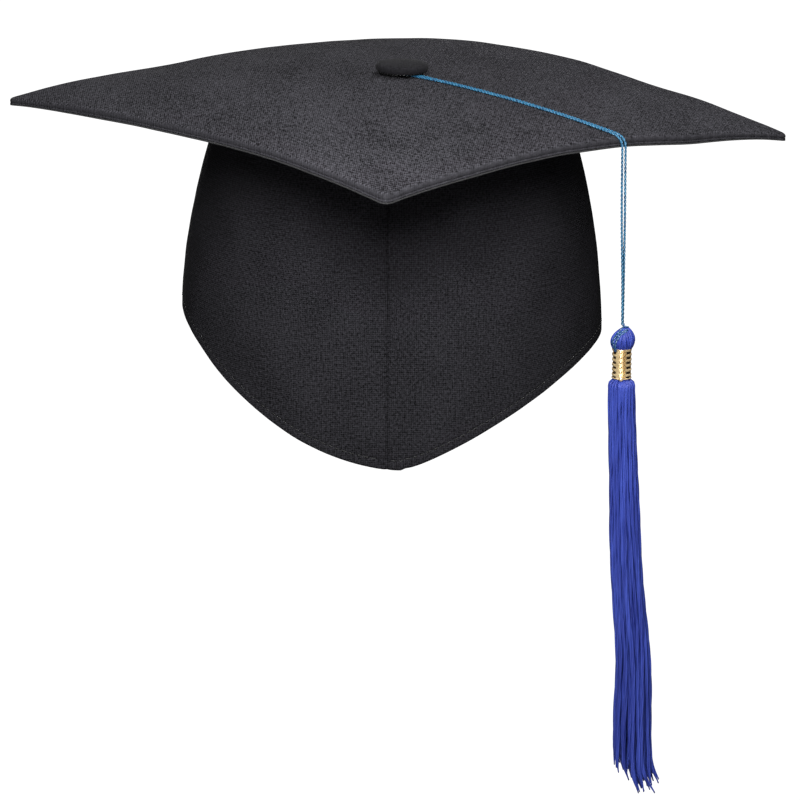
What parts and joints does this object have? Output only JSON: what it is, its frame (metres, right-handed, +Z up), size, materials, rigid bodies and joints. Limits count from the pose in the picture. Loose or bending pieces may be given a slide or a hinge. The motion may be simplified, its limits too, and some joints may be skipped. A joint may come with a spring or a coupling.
{
  "type": "graduation cap",
  "caption": "Square domed board on a soft skull crown, with a covered button and a cord tassel that hangs from the board's edge.",
  "frame": {"origin": "centre of the head opening, 4.6 mm above the crown's lower edge over the ears", "axes": "+Z up, -Y to the front, where one corner of the board and the low point of the crown are, +X to the right seen from the front"},
  "size_m": [0.3376, 0.3376, 0.302],
  "materials": {
    "black_cloth": "matt, fine close weave",
    "underside_cloth": "matt, fine close weave",
    "lining_cloth": "smooth lining",
    "sweatband_cloth": "soft brushed band",
    "interfacing": "stiff woven",
    "seam_tape": "woven tape",
    "elastic": "ribbed elastic",
    "wadding": "thin bonded wadding",
    "card": "grey board",
    "button_metal": "pressed sheet",
    "thread": "waxed thread",
    "washer_plastic": "moulded",
    "cord_blue": "twisted rayon cord, slight sheen",
    "yarn_blue": "rayon yarn, slight sheen",
    "ferrule_brass": "polished, pierced"
  },
  "bodies": {
    "cap": {"board_top_cover": "black_cloth", "board_padding": "wadding", "board_core": "card", "board_bottom_cover": "underside_cloth", "crown_panel_right": "black_cloth", "crown_panel_left": "black_cloth", "crown_stiffener_right": "interfacing", "crown_stiffener_left": "interfacing", "crown_lining_right": "lining_cloth", "crown_lining_left": "lining_cloth", "front_seam_tape": "seam_tape", "back_seam_tape": "seam_tape", "sweatband": "sweatband_cloth", "elastic_band": "elastic", "crown_tip": "lining_cloth", "button_cover": "black_cloth", "button_shell": "button_metal", "button_back_plate": "button_metal", "button_shank": "thread", "button_washer": "washer_plastic"},
    "loop": {"tassel_loop_cord": "cord_blue"},
    "drop": {"tassel_drop_cord": "cord_blue"},
    "tassel": {"tassel_knot": "cord_blue", "tassel_head": "yarn_blue", "tassel_ferrule": "ferrule_brass", "tassel_yarn_core": "yarn_blue", "tassel_skirt": "yarn_blue"}
  },
  "joints": [
    {"name": "tassel_turn", "type": "hinge", "parent": "cap", "child": "loop", "pos_m": [0, 0, 0.103], "axis": [0, 0, 1], "continuous": true, "deforming": ["tassel_loop_cord", "tassel_drop_cord"]},
    {"name": "tassel_swing", "type": "hinge", "parent": "loop", "child": "drop", "pos_m": [0.09199, -0.07213, 0.0881], "axis": [-0.617, -0.7869, 0], "range_deg": [-8, 80], "deforming": ["tassel_loop_cord", "tassel_drop_cord"]},
    {"name": "tassel_sway", "type": "hinge", "parent": "drop", "child": "tassel", "pos_m": [0.09656, -0.07571, 0.0076], "axis": [0.7869, -0.617, 0], "range_deg": [-45, 45], "deforming": ["tassel_drop_cord"]}
  ]
}
